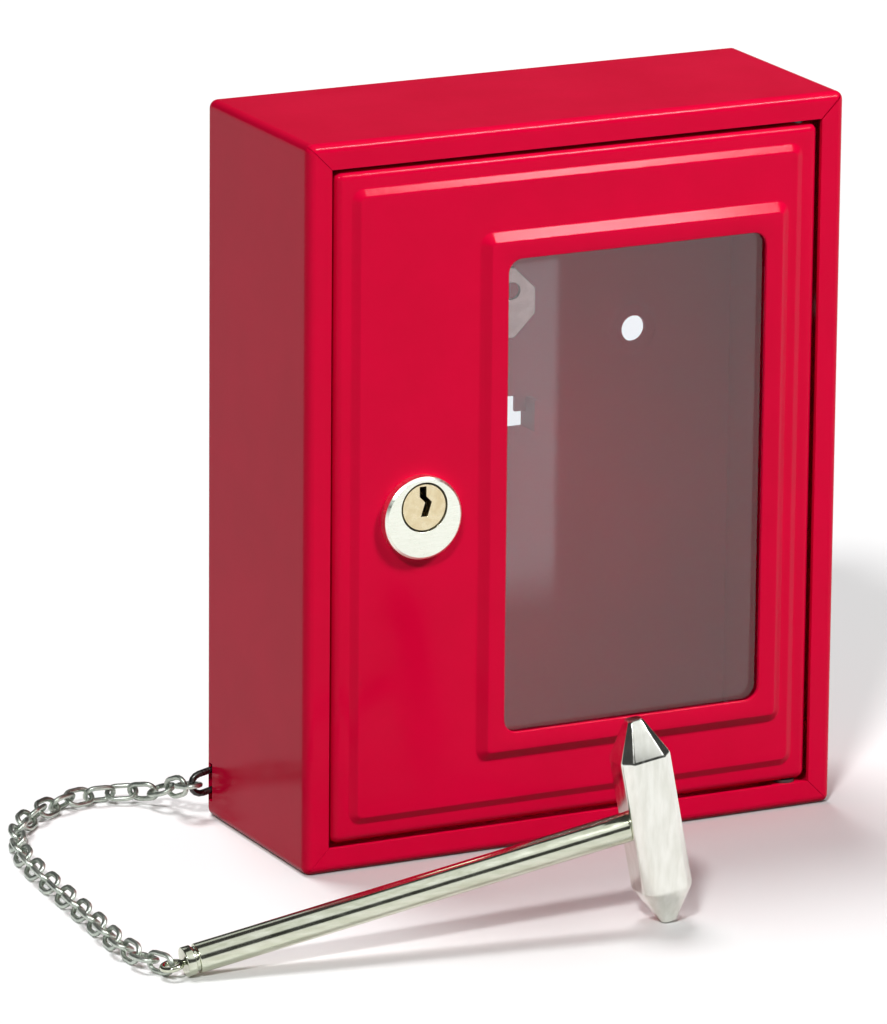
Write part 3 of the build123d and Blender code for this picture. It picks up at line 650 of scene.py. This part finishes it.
def linkPlaces(node):
    # each wire link of a CAD node: its middle and its long, wide and thin directions
    work = openMesh(frame["nodes"][node].data)
    waiting, places = set(work.verts), []
    while waiting:
        group, reached = set(), [next(iter(waiting))]
        while reached:
            vertex = reached.pop()
            if vertex not in group:
                group.add(vertex)
                reached += [edge.other_vert(vertex) for edge in vertex.link_edges]
        waiting -= group
        points = np.array(sorted(vertex.co.to_tuple() for vertex in group)) / mm
        middle = points.mean(0)
        axes = np.linalg.svd(points - middle)[2]
        places.append((middle, axes))
    work.free()
    return sorted(places, key=lambda place: tuple(place[0]))


def ovalPath(length, width, wire, steps):
    # a stadium: half circles of the bend radius about the ends of the straight run
    bend, run = (width - wire) / 2, (length - width) / 2
    a = np.linspace(-np.pi / 2, np.pi / 2, steps + 1)
    x = np.concatenate([run + bend * np.cos(a), -run - bend * np.cos(a)])
    y = np.concatenate([bend * np.sin(a), -bend * np.sin(a)])
    return np.stack([x, y, np.zeros_like(x)], axis=1)


def makeLinks(node, length, width, wire, material):
    # one round link set at every place: middle + x * long + y * wide + z * thin
    c = chainSettings
    name = node + "_round"
    points, faces = tube(ovalPath(length, width, wire, c["bendSteps"]), wire / 2, c["sides"])
    points = points.reshape(-1, 3)
    places = linkPlaces(node)
    middles, axes = (np.array(each) for each in zip(*places))
    allPoints = np.einsum("pk,nkc->npc", points, axes) + middles[:, None]
    allFaces = faces[None] + len(points) * np.arange(len(places))[:, None, None]
    mesh = cleanMesh(name, allPoints, allFaces.reshape(-1, 4))
    addPiece(name, mesh, material, "case", [node], c["sharpAngle"])


def makeChain():
    c = chainSettings
    makeLinks("chain_links", c["length"], c["width"], c["wire"], finishes["chain_steel"])
    # the end link's near-black steel is painted shade
    makeLinks("chain_end_link", c["endLength"], c["endWidth"], c["endWire"], finishes["painted_shade_link"])


makeChain()
print("chain made")


hammerSettings = {
    "end": (-107.9, -69.5), "yaw": -5.1, "reach": 99.0, "sharpAngle": 50,
    "handleDiameter": 6.0, "handleSides": 64, "endRound": 0.5, "handleCrease": 0.25,
    "grooveAt": 2.2, "grooveWidth": 0.8, "grooveDepth": 0.5,
    "headLength": 43.0, "headAcross": 10.5, "pointLength": 7.5, "tipAcross": 3.0,
    "headCrease": 0.5, "headCreaseSteps": 5, "cutCorner": 1.9, "cutRound": 0.09, "cutSteps": 6,
    "eyeWire": 1.2, "eyeDiameter": 3.8, "eyeShank": 7.0, "eyeSteps": 32, "eyeSides": 16,
}


def hammerPlace():
    # the hammer lies on its handle's end and its head's lower point, leaning by an angle whose tangent is
    # (half the head's length - the handle's radius) / (reach - half the point's width)
    h = hammerSettings
    tilt = math.atan((h["headLength"] - h["handleDiameter"]) / 2 / (h["reach"] - h["tipAcross"] / 2))
    lift = h["handleDiameter"] / 2 * math.cos(tilt)
    turn = Matrix.Rotation(math.radians(h["yaw"]), 4, "Z") @ Matrix.Rotation(-tilt, 4, "Y")
    return Matrix.Translation((h["end"][0], h["end"][1], lift)) @ turn


def addHammerPiece(part, points, faces, material):
    # modelled along the X axis from the handle's end, then laid in its place
    place = np.array(hammerPlace())
    points = points.reshape(-1, 3) @ place[:3, :3].T + place[:3, 3]
    mesh = cleanMesh(part, points, faces)
    addPiece("hammer_" + part + "_round", mesh, material, "hammer", ["hammer_" + part],
             hammerSettings["sharpAngle"])


def makeHandle():
    # the outline as (x, radius), from the end past the groove into the head, turned about its axis
    h = hammerSettings
    radius, low = h["handleDiameter"] / 2, h["handleDiameter"] / 2 - h["grooveDepth"]
    before, after = h["grooveAt"] - h["grooveWidth"] / 2, h["grooveAt"] + h["grooveWidth"] / 2
    inHead = h["reach"] - h["headAcross"] / 2
    profile = [(0, 0), (0, radius - h["endRound"]), (0, radius), (before, radius), (before, low),
               (after, low), (after, radius), (inHead, radius), (inHead, 0)]
    points, faces = lathe(roundCorners(profile, h["handleCrease"]), h["handleSides"])
    addHammerPiece("handle", points, faces, finishes["hammer_nickel"])


def makeHead():
    # an octagon, square with cut corners, carried up the head; its reach from the middle narrows
    # at both points: point = (reach * outline x, reach * outline y, z)
    h = hammerSettings
    shoulder, half = h["headLength"] / 2 - h["pointLength"], h["headLength"] / 2
    heights = [(-half, 0), (-half, h["tipAcross"] / 2), (-shoulder, h["headAcross"] / 2),
               (shoulder, h["headAcross"] / 2), (half, h["tipAcross"] / 2), (half, 0)]
    z, reach = roundCorners(heights, h["headCrease"], h["headCreaseSteps"]).T
    cut = 1 - 2 * h["cutCorner"] / h["headAcross"]
    quarter = roundCorners([(1, 0), (1, cut), (cut, 1), (0, 1)], h["cutRound"], h["cutSteps"])[:-1]
    quarterTurn = np.array([(0, 1), (-1, 0)])
    outline = np.concatenate([quarter @ np.linalg.matrix_power(quarterTurn, turns) for turns in range(4)])
    x, y = (reach[:, None] * across for across in outline.T)
    points = np.stack([h["reach"] + x, y, np.broadcast_to(z[:, None], x.shape)], axis=-1)
    faces = gridQuads(len(z), len(outline), False, True)
    addHammerPiece("head", points, faces, finishes["head_nickel"])


def makeEye():
    # a ring of wire, and a straight shank from it into the handle's end
    h = hammerSettings
    radius, wire = h["eyeDiameter"] / 2, h["eyeWire"] / 2
    middle = -(radius + wire)
    turn = 2 * np.pi * np.arange(h["eyeSteps"]) / h["eyeSteps"]
    path = np.stack([middle + radius * np.cos(turn), radius * np.sin(turn), 0 * turn], 1)
    ring, ringFaces = tube(path, wire, h["eyeSides"])
    shank, shankFaces = lathe([(middle + radius, 0), (middle + radius, wire),
                               (h["eyeShank"], wire), (h["eyeShank"], 0)], h["eyeSides"])
    points = np.concatenate([ring.reshape(-1, 3), shank.reshape(-1, 3)])
    faces = np.concatenate([ringFaces, shankFaces + ring.size // 3])
    addHammerPiece("eye", points, faces, finishes["hammer_nickel"])


makeHandle()
makeHead()
makeEye()
print("hammer made")
